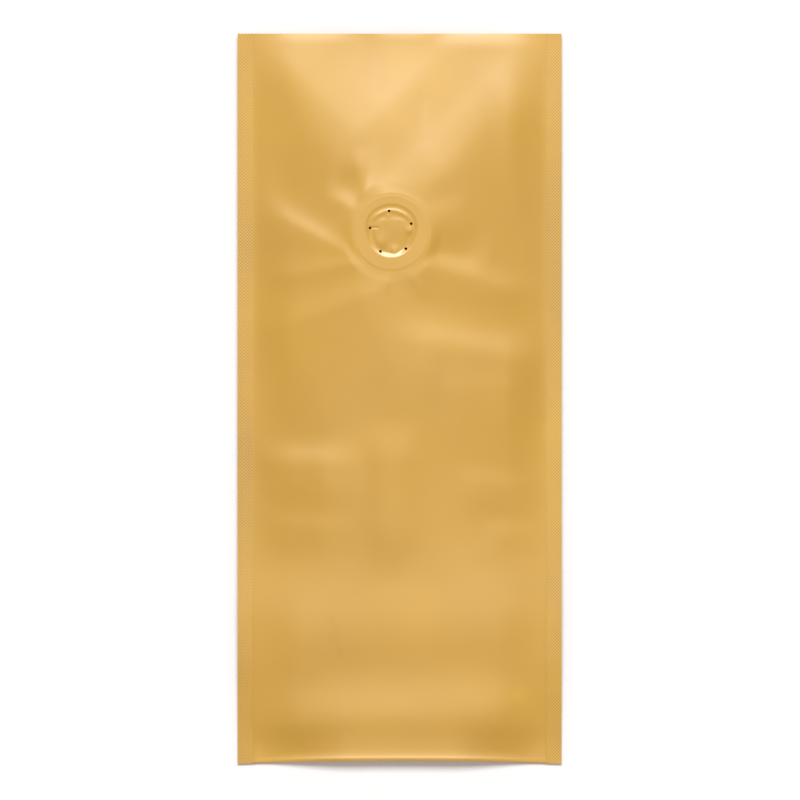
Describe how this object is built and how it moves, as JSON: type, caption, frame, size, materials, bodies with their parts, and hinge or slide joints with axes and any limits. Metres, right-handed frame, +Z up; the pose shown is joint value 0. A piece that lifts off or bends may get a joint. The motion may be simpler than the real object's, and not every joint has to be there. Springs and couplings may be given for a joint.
{
  "type": "coffee bag",
  "caption": "Flat, unfilled side-gusset coffee bag of matt gold film with sealed side edges, an unsealed mouth and a round one-way degassing valve in the front.",
  "frame": {"origin": "middle of the footprint, on the surface that the bag lies on", "axes": "+X across the bag, +Y along it from the foot to the mouth, +Z up, out of the front panel that holds the valve"},
  "size_m": [0.102, 0.23, 0.0077],
  "materials": {
    "gold_film": "matt metallic gold barrier film",
    "gold_over_valve": "matt metallic gold film welded over the valve"
  },
  "bodies": {
    "root": {"pouch": "gold_film", "valve": "gold_over_valve"}
  },
  "joints": []
}
